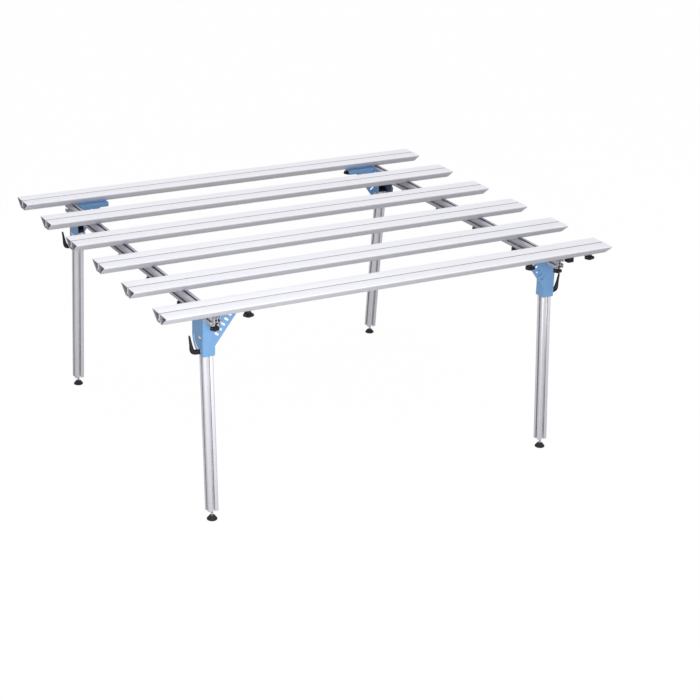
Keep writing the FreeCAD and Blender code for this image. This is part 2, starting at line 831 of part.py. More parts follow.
FULL_TURN = amount(360)
grip = place("grip", size("knob_seat_gap") + size("slat_slot_lip") + size("tee_nut_height"))
beam_knob = star_knob("beam_knob", "beam", grip + size("bar_side"))
flange_knob = star_knob("flange_knob", "slat", grip + size("sheet_thickness"))
slat_knob = star_knob("slat_knob", "slat", grip)
beam_knob_z = place("beam_knob_z", beam_bottom - size("knob_seat_gap"))
flange_knob_z = place("flange_knob_z", slat_bottom - size("sheet_thickness") - size("knob_seat_gap"))
slat_knob_z = place("slat_knob_z", slat_bottom - size("knob_seat_gap"))
slat_nut_z = place("slat_nut_z", slat_bottom + size("slat_slot_lip"))
end_knob_x = place("end_knob_x", leg_x + size("end_knob_offset"))

slat_nuts = []
for side, beam_x in (("left", -leg_x), ("right", leg_x)):
    for number, slat_y in enumerate(slat_places, start=1):
        node = f"beam_knob_{side}_{number}"
        keep(node, copy_at(node, beam_knob, beam_x, slat_y, beam_knob_z))
        slat_nuts.append(copy_at(f"slat_nut_{side}_{number}", nut, beam_x, slat_y, slat_nut_z))
keep_corners("bracket_knob", copy_at("corner_knob", flange_knob, flange_knob_x, outer_slat_y, flange_knob_z))
flange_nut = copy_at("flange_nut", nut, flange_knob_x, outer_slat_y, slat_nut_z)
slat_nuts.extend(at_corners("flange_nut_at", flange_nut).values())
keep("end_knob", copy_at("end_knob", slat_knob, end_knob_x, front_slat_y, slat_knob_z))
slat_nuts.append(copy_at("end_nut", nut, end_knob_x, front_slat_y, slat_nut_z))
keep("slat_tee_nuts", group("slat_tee_nuts", *slat_nuts))

# Slider block hung in the slot of the front slat beside the right-hand beam
slider_x = leg_x + size("slider_offset")
slider_half, slider_side = size("slider_length") / 2, size("slider_width") / 2
tongue = size("slat_mouth") / 2 - size("stud_play")
slider = fused(
    "slot_slider",
    box(
        "slot_slider_block",
        (slider_x - slider_half, slider_x + slider_half),
        (front_slat_y - slider_side, front_slat_y + slider_side),
        (slat_bottom - size("slider_height"), slat_bottom),
    ),
    box(
        "slot_slider_tongue",
        (slider_x - slider_half, slider_x + slider_half),
        (front_slat_y - tongue, front_slat_y + tongue),
        (slat_bottom - size("slider_height"), slat_nut_z),
    ),
)
keep("slot_slider", slider)

# Check every piece, then write one file for each node
doc.recompute()
for made in doc.Objects:
    if "Invalid" in made.State or "Error" in made.State:
        raise RuntimeError(f"{made.Label} did not build: {made.State}")
for node, piece in nodes.items():
    if piece.Shape.isNull() or not piece.Shape.isValid() or not piece.Shape.Solids:
        raise RuntimeError(f"{node} has no valid solid")
os.makedirs("parts", exist_ok=True)
for node, piece in nodes.items():
    piece.Shape.exportStep(f"parts/{node}.step")
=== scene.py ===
import json
import math

import bmesh
import bpy
from mathutils import Matrix, Vector
from mathutils.bvhtree import BVHTree

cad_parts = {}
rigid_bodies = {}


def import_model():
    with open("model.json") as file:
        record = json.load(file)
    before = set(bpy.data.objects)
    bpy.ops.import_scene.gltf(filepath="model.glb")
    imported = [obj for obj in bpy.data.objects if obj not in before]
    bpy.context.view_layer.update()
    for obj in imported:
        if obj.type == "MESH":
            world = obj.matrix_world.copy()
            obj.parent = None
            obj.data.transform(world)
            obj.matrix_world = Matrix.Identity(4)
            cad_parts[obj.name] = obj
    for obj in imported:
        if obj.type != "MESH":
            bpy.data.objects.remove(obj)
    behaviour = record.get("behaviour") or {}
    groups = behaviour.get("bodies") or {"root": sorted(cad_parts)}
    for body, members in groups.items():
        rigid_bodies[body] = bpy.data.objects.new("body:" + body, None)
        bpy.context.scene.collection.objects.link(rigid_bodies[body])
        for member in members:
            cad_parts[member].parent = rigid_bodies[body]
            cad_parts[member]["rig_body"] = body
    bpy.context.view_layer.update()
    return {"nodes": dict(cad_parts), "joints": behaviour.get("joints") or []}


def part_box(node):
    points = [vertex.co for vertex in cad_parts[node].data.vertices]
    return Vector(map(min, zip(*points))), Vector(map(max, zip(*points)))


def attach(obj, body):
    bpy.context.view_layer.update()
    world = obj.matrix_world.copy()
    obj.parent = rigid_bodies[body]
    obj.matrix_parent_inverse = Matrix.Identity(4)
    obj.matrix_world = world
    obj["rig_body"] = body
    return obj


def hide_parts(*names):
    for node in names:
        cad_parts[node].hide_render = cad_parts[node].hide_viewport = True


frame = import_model()


# Top slats: six hollow aluminium extrusions, flat on top, with slanting flanks and a slot below.
# They are sawn square and anodised satin, so fine die lines run their whole length; the hollows
# are a dull grey darkened with painted shade, and the groove along the top carries lighter painted
# shade.
SLAT_NUMBERS = range(1, 7)
SLAT_TOP = 0.815
SLAT_HALF_WIDTH = 0.0585
SLAT_HOLLOW = 0.07
SLAT_LIP_RADIUS = 0.0022
SLAT_LIP_SEGMENTS = 3
SLAT_EDGE_SHARE = 0.18
GROOVE_HALF = 0.0032
GROOVE_FLOOR = 0.0031
SLAT_TONES = ((0.825, 0.825, 0.880), (0.890, 0.890, 0.940))
SLAT_DIE_LINES = (3.0, 700.0, 700.0)
SLAT_ROUGHNESS = 0.62
SLAT_METALLIC = 0.3
# Painted shade: the hollows and the groove along the top are coloured darker, where shade falls.
HOLLOW_SHADE_TONES = ((0.24, 0.235, 0.27), (0.34, 0.332, 0.38))
GROOVE_SHADE_TONES = ((0.38, 0.375, 0.41), (0.47, 0.465, 0.50))


class Socket:
    """One socket in a tree of nodes, so that sums of sockets read as sums."""

    def __init__(self, tree, socket=None):
        self.tree = tree
        self.socket = socket

    def node(self, kind, settings=None, inputs=None, out=0):
        """A new node: its settings are made first, then its sockets are set or linked."""
        made = self.tree.nodes.new(kind)
        for name, value in (settings or {}).items():
            setattr(made, name, value)
        for name, value in (inputs or {}).items():
            if isinstance(value, Socket):
                self.tree.links.new(value.socket, made.inputs[name])
            else:
                made.inputs[name].default_value = value
        return Socket(self.tree, made.outputs[out] if made.outputs else None)

    def worked_out(self, operation, first, second=0.0):
        return self.node("ShaderNodeMath", {"operation": operation}, {0: first, 1: second})

    def __add__(self, other):
        return self.worked_out("ADD", self, other)

    def __radd__(self, other):
        return self.worked_out("ADD", other, self)

    def __sub__(self, other):
        return self.worked_out("SUBTRACT", self, other)

    def __rsub__(self, other):
        return self.worked_out("SUBTRACT", other, self)

    def __mul__(self, other):
        return self.worked_out("MULTIPLY", self, other)

    def __rmul__(self, other):
        return self.worked_out("MULTIPLY", other, self)


def finish(name):
    """A new material, the empty socket that its nodes start from, and its principled shader."""
    made = bpy.data.materials.new(name)
    made.use_nodes = True
    return made, Socket(made.node_tree), made.node_tree.nodes["Principled BSDF"]


def fill(shade, shader, **inputs):
    """Sets or links the sockets of the principled shader."""
    for name, value in inputs.items():
        socket = shader.inputs[name.replace("_", " ")]
        if isinstance(value, Socket):
            shade.tree.links.new(value.socket, socket)
        else:
            socket.default_value = value


def own_place(shade):
    """Where a point lies on the piece itself."""
    return shade.node("ShaderNodeTexCoord", out="Object")


def noise(shade, place, scale, detail=2.0, roughness=0.5):
    sockets = {"Vector": place, "Scale": scale, "Detail": detail, "Roughness": roughness}
    return shade.node("ShaderNodeTexNoise", {}, sockets)


def bumped(shade, height, strength, distance):
    sockets = {"Strength": strength, "Distance": distance, "Height": height}
    return shade.node("ShaderNodeBump", {}, sockets)


BLEND_FACTOR, BLEND_FIRST, BLEND_SECOND, BLEND_RESULT = 0, 6, 7, 2


def blend_of(shade, factor, first, second):
    """A tone between two others."""
    sockets = {BLEND_FACTOR: factor, BLEND_FIRST: (*first, 1.0), BLEND_SECOND: (*second, 1.0)}
    return shade.node("ShaderNodeMix", {"data_type": "RGBA"}, sockets, out=BLEND_RESULT)


DIE_LINE_DETAIL = 3.0
DIE_LINE_ROUGHNESS = 0.6
DIE_LINE_SHARE = 0.6
DIE_LINE_BUMP = (0.12, 0.0002)
ANODISED_CLOUDS = 5.0
ANODISED_SPREAD = 0.14
ANODISED_SHINE = 0.2


def anodised(name, tones, stretch, roughness, metallic, tilt=0.0):
    """Satin anodised aluminium: die lines along the bar, clouds of tone, a grain in the gloss."""
    made, shade, shader = finish(name)
    place = own_place(shade)
    lie = {"Vector": place, "Rotation": (tilt, 0, 0), "Scale": stretch}
    along = shade.node("ShaderNodeMapping", {}, lie)
    lines = noise(shade, along, 1.0, DIE_LINE_DETAIL, DIE_LINE_ROUGHNESS)
    cloud = noise(shade, place, ANODISED_CLOUDS)
    fill(
        shade,
        shader,
        Base_Color=blend_of(shade, lines * DIE_LINE_SHARE + cloud * (1 - DIE_LINE_SHARE), *tones),
        Roughness=roughness - ANODISED_SPREAD / 2 + lines * ANODISED_SPREAD,
        Metallic=metallic,
        Normal=bumped(shade, lines, *DIE_LINE_BUMP),
        Specular_IOR_Level=ANODISED_SHINE,
    )
    return made


STREAK_SCALE = 60.0
STREAK_DETAIL = 3.0
DIE_GREY_ROUGHNESS = 0.55
DIE_GREY_SPREAD = 0.15
DIE_GREY_METALLIC = 0.2


def die_grey_with_painted_shade(name, tones):
    """Dull, a little streaky bare aluminium for hollows, its colour darkened with painted shade."""
    made, shade, shader = finish(name)
    streak = noise(shade, own_place(shade), STREAK_SCALE, STREAK_DETAIL)
    fill(
        shade,
        shader,
        Base_Color=blend_of(shade, streak, *tones),
        Roughness=DIE_GREY_ROUGHNESS + streak * DIE_GREY_SPREAD,
        Metallic=DIE_GREY_METALLIC,
    )
    return made


JOIN = 1e-6
FLAT = math.radians(0.5)


def merged_copy(node):
    """The CAD node's mesh with its loose triangles joined into whole faces."""
    work = bmesh.new()
    work.from_mesh(frame["nodes"][node].data)
    bmesh.ops.remove_doubles(work, verts=work.verts, dist=JOIN)
    bmesh.ops.dissolve_limit(work, angle_limit=FLAT, verts=work.verts, edges=work.edges)
    work.normal_update()
    return work


OUTER_COAT, PAINTED_SHADE_COAT, GROOVE_SHADE_COAT = range(3)
OFF_FACE = 1e-5


def shade_hollows(work, width):
    """Gives the painted-shade finish to faces that look at another face of their bar across a
    hollow.
    """
    tree = BVHTree.FromBMesh(work)
    for face in work.faces:
        start = face.calc_center_median() + face.normal * OFF_FACE
        opposite = tree.ray_cast(start, face.normal, width)[0]
        face.material_index = OUTER_COAT if opposite is None else PAINTED_SHADE_COAT


SHARP = math.radians(32)
CREASE = math.radians(34)


def is_sharp(edge):
    return len(edge.link_faces) == 2 and edge.calc_face_angle() > SHARP


def softened(work, name, edge, finishes, segments=2, by_weight=False):
    """Breaks the sharp edges of a merged copy, as finishing leaves them, and settles it."""
    mesh = bpy.data.meshes.new(name)
    work.to_mesh(mesh)
    work.free()
    for coat in finishes:
        mesh.materials.append(coat)
    rough = bpy.data.objects.new(name, mesh)
    bpy.context.scene.collection.objects.link(rough)
    bevel = rough.modifiers.new("edge", "BEVEL")
    bevel.width = edge
    bevel.segments = segments
    bevel.limit_method = "WEIGHT" if by_weight else "ANGLE"
    bevel.angle_limit = SHARP
    return settled(rough, f"{name}_finished")


def settled(rough, name):
    """Turns an object with live modifiers into a plain piece that keeps its finishes."""
    live = rough.evaluated_get(bpy.context.evaluated_depsgraph_get())
    mesh = bpy.data.meshes.new_from_object(live)
    bpy.data.objects.remove(rough)
    mesh.name = name
    mesh.shade_smooth()
    mesh.set_sharp_from_angle(angle=CREASE)
    piece = bpy.data.objects.new(name, mesh)
    bpy.context.scene.collection.objects.link(piece)
    return piece


def stand_for(piece, node):
    """The piece rides where its CAD node does, and is shown in its place."""
    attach(piece, frame["nodes"][node]["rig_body"])
    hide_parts(node)
    return piece


NEAR = 1e-4
SAWN_END = 0.5


# Painted shade: the groove's floor and walls are coloured darker, as shade inside it would make
# them.
def shade_groove(work, middle):
    """Gives the groove along the top its painted-shade finish, all but its sawn ends."""
    for face in work.faces:
        centre = face.calc_center_median()
        inside = abs(centre.y - middle) < GROOVE_HALF and centre.z > SLAT_TOP - GROOVE_FLOOR
        if inside and abs(face.normal.x) < SAWN_END:
            face.material_index = GROOVE_SHADE_COAT


def round_lips(work, middle):
    """Marks how far each sharp edge is rounded: the long upper lips most, the others a little."""
    weights = work.edges.layers.float.new("bevel_weight_edge")
    for edge in filter(is_sharp, work.edges):
        ends = [end.co for end in edge.verts]
        lip = all(
            SLAT_TOP - end.z < NEAR and abs(end.y - middle) > SLAT_HALF_WIDTH - NEAR for end in ends
        )
        edge[weights] = 1.0 if lip else SLAT_EDGE_SHARE


slat_finishes = (
    anodised("slat_anodised", SLAT_TONES, SLAT_DIE_LINES, SLAT_ROUGHNESS, SLAT_METALLIC),
    # The second and third finishes are painted shade, for the hollows and for the groove.
    die_grey_with_painted_shade("hollow_painted_shade", HOLLOW_SHADE_TONES),
    die_grey_with_painted_shade("groove_painted_shade", GROOVE_SHADE_TONES),
)
for number in SLAT_NUMBERS:
    slat = f"top_slat_{number}"
    section = merged_copy(slat)
    low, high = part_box(slat)
    middle = (low[1] + high[1]) / 2
    shade_hollows(section, SLAT_HOLLOW)
    shade_groove(section, middle)
    round_lips(section, middle)
    rounding = {"edge": SLAT_LIP_RADIUS, "segments": SLAT_LIP_SEGMENTS, "by_weight": True}
    stand_for(softened(section, slat, finishes=slat_finishes, **rounding), slat)


# Cross beams: slotted square bar, drilled upright at every slat for the studs of the knobs.
# The same extruded aluminium as the slats, anodised satin, sawn square at the ends.
BEAMS = ("cross_beam_left", "cross_beam_right")
BAR_EDGE = 0.0005
BAR_HOLLOW = 0.03
# Painted shade: the beams are coloured darker than the legs of the same bar, for the shade of the
# slats above.
BEAM_TONES_WITH_SHADE = ((0.50, 0.49, 0.55), (0.59, 0.58, 0.64))
# Painted shade: the faces inside the beam's slots are coloured near black.
BEAM_SLOT_SHADE_TONES = ((0.09, 0.088, 0.102), (0.14, 0.137, 0.16))
BEAM_DIE_LINES = (600.0, 3.0, 600.0)
BEAM_ROUGHNESS = 0.52
BEAM_METALLIC = 0.4
beam_finishes = (
    anodised("beam_anodised_with_shade", BEAM_TONES_WITH_SHADE, BEAM_DIE_LINES, BEAM_ROUGHNESS, BEAM_METALLIC),
    die_grey_with_painted_shade("beam_slot_painted_shade", BEAM_SLOT_SHADE_TONES),
)
for beam in BEAMS:
    section = merged_copy(beam)
    shade_hollows(section, BAR_HOLLOW)
    stand_for(softened(section, beam, BAR_EDGE, beam_finishes), beam)


# Leg brackets: steel sheet, cut with windows and a curved slot, embossed, folded and powder coated.
# Each grips its beam between two side plates and carries a flange under the outer slat;
# inside the channel between the plates the coat is darkened with painted shade.
CORNERS = {
    "front_left": (-1, -1),
    "front_right": (1, -1),
    "back_left": (-1, 1),
    "back_right": (1, 1),
}
PLATE_FACE = 0.645
SHEET = 0.003
SLAT_UNDERSIDE = 0.780
BEND_RADIUS = 0.0035
BEND_SEGMENTS = 4
CUT_EDGE_SHARE = 0.17
EMBOSS_SHARE = 0.4
CHANNEL_MIDDLE = 0.700
CHANNEL_HALF = 0.0196
BRACKET_TONES = ((0.180, 0.375, 0.665), (0.207, 0.408, 0.702))
# Painted shade: the channel between the side plates is coloured dark navy.
CHANNEL_SHADE_TONES = ((0.080, 0.112, 0.175), (0.105, 0.142, 0.215))
PEEL_SCALE = 900.0
PEEL_BUMP = (0.18, 0.0003)
POWDER_CLOUDS = 14.0
POWDER_CLOUD_DETAIL = 3.0
POWDER_ROUGHNESS = 0.38
POWDER_SPREAD = 0.12
POWDER_GLOSS = 0.1


def powder_coat(name, tones):
    """Powder coating: even colour, a fine orange-peel skin and a soft gloss."""
    made, shade, shader = finish(name)
    place = own_place(shade)
    peel = noise(shade, place, PEEL_SCALE)
    cloud = noise(shade, place, POWDER_CLOUDS, POWDER_CLOUD_DETAIL)
    fill(
        shade,
        shader,
        Base_Color=blend_of(shade, cloud, *tones),
        Roughness=POWDER_ROUGHNESS + peel * POWDER_SPREAD,
        Normal=bumped(shade, peel, *PEEL_BUMP),
        Coat_Weight=POWDER_GLOSS,
    )
    return made


def rounded_folds(work, outer_x):
    """Marks how far each sharp edge is rounded: folds most, the embossing less, cut edges least."""
    weights = work.edges.layers.float.new("bevel_weight_edge")
    for edge in filter(is_sharp, work.edges):
        ends = [end.co for end in edge.verts]
        upright_fold = all(
            abs(abs(end.x) - outer_x) < NEAR and abs(abs(end.y) - PLATE_FACE) < NEAR for end in ends
        )
        flange_fold = all(
            abs(end.z - SLAT_UNDERSIDE) < NEAR and abs(abs(end.y) - PLATE_FACE + SHEET) < NEAR
            for end in ends
        )
        embossed = all(
            abs(end.y) > PLATE_FACE + NEAR and end.z < SLAT_UNDERSIDE - 2 * SHEET for end in ends
        )
        if upright_fold or flange_fold:
            edge[weights] = 1.0
        else:
            edge[weights] = EMBOSS_SHARE if embossed else CUT_EDGE_SHARE


def shade_channel(work):
    """Gives the painted-shade finish to the faces that look into the channel between the side
    plates.
    """
    for face in work.faces:
        centre = face.calc_center_median()
        inward = Vector((math.copysign(CHANNEL_MIDDLE, centre.x), 0, centre.z)) - centre
        between_plates = abs(abs(centre.x) - CHANNEL_MIDDLE) < CHANNEL_HALF
        behind_front = abs(centre.y) < PLATE_FACE - SHEET / 2
        inside = between_plates and behind_front and face.normal.dot(inward) > NEAR
        face.material_index = PAINTED_SHADE_COAT if inside else OUTER_COAT


bracket_finishes = (
    powder_coat("bracket_powder_coat", BRACKET_TONES),
    powder_coat("channel_painted_shade", CHANNEL_SHADE_TONES),
)
for corner in CORNERS:
    node = f"leg_bracket_{corner}"
    low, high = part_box(node)
    folded = merged_copy(node)
    rounded_folds(folded, max(abs(low[0]), abs(high[0])))
    shade_channel(folded)
    rounding = {"edge": BEND_RADIUS, "segments": BEND_SEGMENTS, "by_weight": True}
    stand_for(softened(folded, node, finishes=bracket_finishes, **rounding), node)


# Bracket screws and tee nuts: button-head screws go through both side plates into nuts that lie
# in the beam's slots. Zinc-plated steel, with a hexagon recess in each head and rolled threads.
OUTER_FACE = 0.7225
INNER_FACE = 0.6775
BEAM_MIDDLE = 0.761
SCREW_ROWS = (0.631, 0.609)
SCREW_RADIUS = 0.004
SCREW_REACH = 0.013
SCREW_TIP = 0.0005
SCREW_HEAD = {"radius": 0.007, "height": 0.0045, "recess": 0.0026}
SCREW_COLUMNS = 36
HEXAGON = 6
TEE_NUT_EDGE = 0.0005
ZINC_TONES = ((0.50, 0.50, 0.51), (0.66, 0.66, 0.67))
ZINC_ROUGHNESS = 0.24
ZINC_SPREAD = 0.2
BLOOM_SCALE = 160.0
BLOOM_DETAIL = 4.0


def zinc(name, tones):
    """Bright zinc plating with a faint crystal bloom."""
    made, shade, shader = finish(name)
    bloom = noise(shade, own_place(shade), BLOOM_SCALE, BLOOM_DETAIL)
    fill(
        shade,
        shader,
        Base_Color=blend_of(shade, bloom, *tones),
        Roughness=ZINC_ROUGHNESS + bloom * ZINC_SPREAD,
        Metallic=1.0,
    )
    return made


def turning_tree():
    """Nodes that turn a profile about its axis, with lobes where it asks for them, at each place.

    A profile's points hold the radius, the depth of the lobes and the height along the axis."""
    tree = bpy.data.node_groups.new("turned_pieces", "GeometryNodeTree")
    ends = tree.interface
    ends.new_socket("Pieces", in_out="OUTPUT", socket_type="NodeSocketGeometry")
    ends.new_socket("Places", in_out="INPUT", socket_type="NodeSocketGeometry")
    kinds = {"Profile": "Object", "Columns": "Int", "Lobes": "Int", "Finish": "Material"}
    inputs = {
        name: ends.new_socket(name, in_out="INPUT", socket_type=f"NodeSocket{kind}").identifier
        for name, kind in kinds.items()
    }
    start = Socket(tree)

    def part_of(vector, axis):
        return start.node("ShaderNodeSeparateXYZ", {}, {0: vector}, out=axis)

    given = tree.nodes.new("NodeGroupInput").outputs
    taken = {name: Socket(tree, given[name]) for name in ("Places", *kinds)}
    found = {"Object": taken["Profile"]}
    outline = start.node("GeometryNodeObjectInfo", {}, found, out="Geometry")
    counted = {"Geometry": outline}
    rows = start.node("GeometryNodeAttributeDomainSize", {}, counted, out="Point Count")
    lattice = {"Vertices X": taken["Columns"] + 1, "Vertices Y": rows}
    grid = start.node("GeometryNodeMeshGrid", {}, lattice, out="Mesh")
    flat = Socket(tree, grid.socket.node.outputs["UV Map"])
    row = start.worked_out("ROUND", part_of(flat, "Y") * (rows - 1))
    here = start.node("GeometryNodeInputPosition")
    sample = {"Geometry": outline, "Value": here, "Index": row}
    point = start.node("GeometryNodeSampleIndex", {"data_type": "FLOAT_VECTOR"}, sample)
    radius, lobe, height = (part_of(point, axis) for axis in "XYZ")
    angle = part_of(flat, "X") * math.tau
    reach = radius + lobe * start.worked_out("COSINE", angle * taken["Lobes"])
    spot = {
        "X": reach * start.worked_out("COSINE", angle),
        "Y": reach * start.worked_out("SINE", angle),
        "Z": height,
    }
    place = start.node("ShaderNodeCombineXYZ", {}, spot)
    skin = start.node("GeometryNodeSetPosition", {}, {"Geometry": grid, "Position": place})
    joined = {"Geometry": skin, "Distance": JOIN}
    closed = start.node("GeometryNodeMergeByDistance", {}, joined)
    kept_turn = {"data_type": "FLOAT_VECTOR"}
    turn = start.node("GeometryNodeInputNamedAttribute", kept_turn, {"Name": "turn"})
    rotation = start.node("FunctionNodeEulerToRotation", {}, {0: turn})
    stood = {"Points": taken["Places"], "Instance": closed, "Rotation": rotation}
    pieces = start.node("GeometryNodeInstanceOnPoints", {}, stood)
    real = start.node("GeometryNodeRealizeInstances", {}, {"Geometry": pieces})
    coat = {"Geometry": real, "Material": taken["Finish"]}
    coated = start.node("GeometryNodeSetMaterial", {}, coat)
    start.node("NodeGroupOutput", {}, {0: coated})
    return tree, inputs


TURNING, TURNING_INPUTS = turning_tree()


def drawn(name, points, edges):
    mesh = bpy.data.meshes.new(name)
    mesh.from_pydata(points, edges, [])
    made = bpy.data.objects.new(name, mesh)
    bpy.context.scene.collection.objects.link(made)
    return made


def turned(name, profile, stands, coat, columns=40, lobes=0):
    """Turns a profile, listed from its low end to its high end, at every stand.

    A stand is a place and the way that the axis points there."""
    steps = [(step, step + 1) for step in range(len(profile) - 1)]
    outline = drawn(f"{name}_profile", profile, steps)
    rough = drawn(name, [place for place, axis in stands], [])
    turns = rough.data.attributes.new("turn", "FLOAT_VECTOR", "POINT")
    for spot, (place, axis) in zip(turns.data, stands):
        spot.vector = Vector(axis).to_track_quat("Z", "Y").to_euler()
    nodes = rough.modifiers.new("turned", "NODES")
    nodes.node_group = TURNING
    values = {"Profile": outline, "Columns": columns, "Lobes": lobes, "Finish": coat}
    for word, value in values.items():
        nodes[TURNING_INPUTS[word]] = value
    piece = settled(rough, f"{name}_finished")
    bpy.data.objects.remove(outline)
    return piece


MOST_EASING = 0.5


def eased(corners, steps=3):
    """A profile with its corners rounded.

    Each corner is a radius, a lobe depth, a height and, where it is rounded, how far."""
    points = [Vector(corner[:3]) for corner in corners]
    smooth = [points[0]]
    for before, here, after, corner in zip(points, points[1:], points[2:], corners[1:]):
        easing = corner[3] if len(corner) > 3 else 0.0
        if not easing:
            smooth.append(here)
            continue
        enter = here.lerp(before, min(MOST_EASING, easing / (before - here).length))
        leave = here.lerp(after, min(MOST_EASING, easing / (after - here).length))
        for step in range(steps + 1):
            share = step / steps
            smooth.append(enter.lerp(here, share).lerp(here.lerp(leave, share), share))
    return smooth + [points[-1]]


THREAD_PITCH = 0.00125
THREAD_DEPTH = 0.0007
TIP_SHARE = 0.8


def rolled_thread(radius, start, end):
    """The roots and crests of a thread between two heights."""
    ridge = []
    for turn in range(int((end - start) / THREAD_PITCH)):
        root = start + turn * THREAD_PITCH
        ridge += [(radius - THREAD_DEPTH, 0, root), (radius, 0, root + THREAD_PITCH / 2)]
    return ridge


def rod_tip(radius, height):
    """The low end of a threaded rod, narrowed so that it finds its nut."""
    return [(0, 0, height), (radius * TIP_SHARE, 0, height)]


SEAT_SHARE = 0.9
SEAT_EASING = 0.0003
DOME = ((1.0, 0.3, 0.25), (0.72, 0.85, 0.4))
RECESS_LIP = 1.25
RECESS_EASING = 0.0004
RECESS_HEIGHTS = (0.92, 0.4)
RECESS_POINT = 0.3
HEXAGON_WAVE = 0.07


def button_head(radius, height, recess):
    """A domed head on its seat at height zero, with a hexagon recess."""
    dome = [(radius * out, 0, height * up, height * easing) for out, up, easing in DOME]
    walls = [(recess, recess * HEXAGON_WAVE, height * up) for up in RECESS_HEIGHTS]
    return eased(
        [
            (radius * SEAT_SHARE, 0, 0),
            (radius, 0, 0, SEAT_EASING),
            *dome,
            (recess * RECESS_LIP, 0, height, RECESS_EASING),
            *walls,
            (0, 0, height * RECESS_POINT),
        ]
    )


zinc_finish = zinc("zinc_plated_steel", ZINC_TONES)
screw_profile = rod_tip(SCREW_RADIUS, -SCREW_REACH)
screw_profile += rolled_thread(SCREW_RADIUS, -SCREW_REACH + SCREW_TIP, -SHEET)
screw_profile += [(SCREW_RADIUS, 0, -SHEET), (SCREW_RADIUS, 0, 0)]
screw_profile += button_head(**SCREW_HEAD)
screw_stands = []
for side, end in CORNERS.values():
    for row in SCREW_ROWS:
        screw_stands.append(((side * OUTER_FACE, end * row, BEAM_MIDDLE), (side, 0, 0)))
        screw_stands.append(((side * INNER_FACE, end * row, BEAM_MIDDLE), (-side, 0, 0)))
node = "bracket_screws"
stand_for(turned(node, screw_profile, screw_stands, zinc_finish, SCREW_COLUMNS, HEXAGON), node)
for node in ("beam_tee_nuts", "slat_tee_nuts"):
    stand_for(softened(merged_copy(node), node, TEE_NUT_EDGE, (zinc_finish,)), node)


# Legs: the slotted bar of the beams, leaning out a little, drilled for the bolt and the stud.
# Anodised satin like the beams, with the die lines running down the leg, and cut square; its slots
# carry painted shade.
LEG_SPLAY = math.radians(4.4)
LEG_TONES = ((0.78, 0.77, 0.83), (0.87, 0.86, 0.915))
# Painted shade: the faces inside the leg's slots are coloured darker grey.
LEG_SLOT_SHADE_TONES = ((0.32, 0.315, 0.345), (0.42, 0.415, 0.45))
LEG_DIE_LINES = (600.0, 600.0, 3.0)
LEG_ROUGHNESS = 0.45
LEG_METALLIC = 0.5
slot_shade_finish = die_grey_with_painted_shade("leg_slot_painted_shade", LEG_SLOT_SHADE_TONES)
for corner, (_, end) in CORNERS.items():
    node = f"leg_{corner}"
    name = f"leg_anodised_{corner}"
    tilt = -end * LEG_SPLAY
    leg_finish = anodised(name, LEG_TONES, LEG_DIE_LINES, LEG_ROUGHNESS, LEG_METALLIC, tilt)
    section = merged_copy(node)
    shade_hollows(section, BAR_HOLLOW)
    stand_for(softened(section, node, BAR_EDGE, (leg_finish, slot_shade_finish)), node)


# Leg caps: rounded plugs in the upper ends of the legs, which keep sharp corners off the bracket.
# Moulded in black filled plastic with a fine spark-eroded skin, and pushed in.
CAP_EDGE = 0.0012
CAP_SEGMENTS = 3
PLASTIC_TONES = ((0.008, 0.0076, 0.0095), (0.019, 0.018, 0.022))
PLASTIC_GRAIN = 1400.0
PLASTIC_ROUGHNESS = 0.42
MOULD_CLOUDS = 40.0
MOULD_BUMP = (0.2, 0.0002)
MOULD_SPREAD = 0.2
MOULD_SHINE = 0.3


def moulded(name, tones, grain, roughness):
    """Filled plastic: near black, cloudy, with the fine pits of a spark-eroded mould."""
    made, shade, shader = finish(name)
    place = own_place(shade)
    skin = noise(shade, place, grain)
    cloud = noise(shade, place, MOULD_CLOUDS)
    fill(
        shade,
        shader,
        Base_Color=blend_of(shade, cloud, *tones),
        Roughness=roughness + skin * MOULD_SPREAD,
        Normal=bumped(shade, skin, *MOULD_BUMP),
        Specular_IOR_Level=MOULD_SHINE,
    )
    return made


plastic_finish = moulded("black_moulded_plastic", PLASTIC_TONES, PLASTIC_GRAIN, PLASTIC_ROUGHNESS)
for corner in CORNERS:
    node = f"leg_cap_{corner}"
    stand_for(softened(merged_copy(node), node, CAP_EDGE, (plastic_finish,), CAP_SEGMENTS), node)


# Pivot bolts and nuts: each leg swings on a button-head bolt across its bracket, with a nut inside.
# Zinc-plated steel; the shank is plain where the leg turns on it and threaded at the nut.
AXES = {joint["name"]: joint["pos_m"] for joint in frame["joints"] if joint["type"] == "hinge"}
PIVOT_HEAD = {"radius": 0.0085, "height": 0.005, "recess": 0.0032}
PIVOT_RADIUS = 0.005
PIVOT_REACH = 0.053
PIVOT_TIP = 0.0006
PIVOT_COLUMNS = 36
NUT_HEIGHT = 0.008
NUT_EDGE = 0.0008
thread_end = -PIVOT_REACH + NUT_HEIGHT
bolt_profile = rod_tip(PIVOT_RADIUS, -PIVOT_REACH)
bolt_profile += rolled_thread(PIVOT_RADIUS, -PIVOT_REACH + PIVOT_TIP, thread_end)
bolt_profile += [(PIVOT_RADIUS, 0, thread_end + SHEET), (PIVOT_RADIUS, 0, 0)]
bolt_profile += button_head(**PIVOT_HEAD)
bolt_stands = []
for corner, (side, _) in CORNERS.items():
    pivot = Vector(AXES[f"leg_{corner}_fold"])
    bolt_stands.append(((side * OUTER_FACE, pivot.y, pivot.z), (side, 0, 0)))
node = "pivot_bolts"
stand_for(turned(node, bolt_profile, bolt_stands, zinc_finish, PIVOT_COLUMNS, HEXAGON), node)
node = "pivot_nuts"
stand_for(softened(merged_copy(node), node, NUT_EDGE, (zinc_finish,)), node)


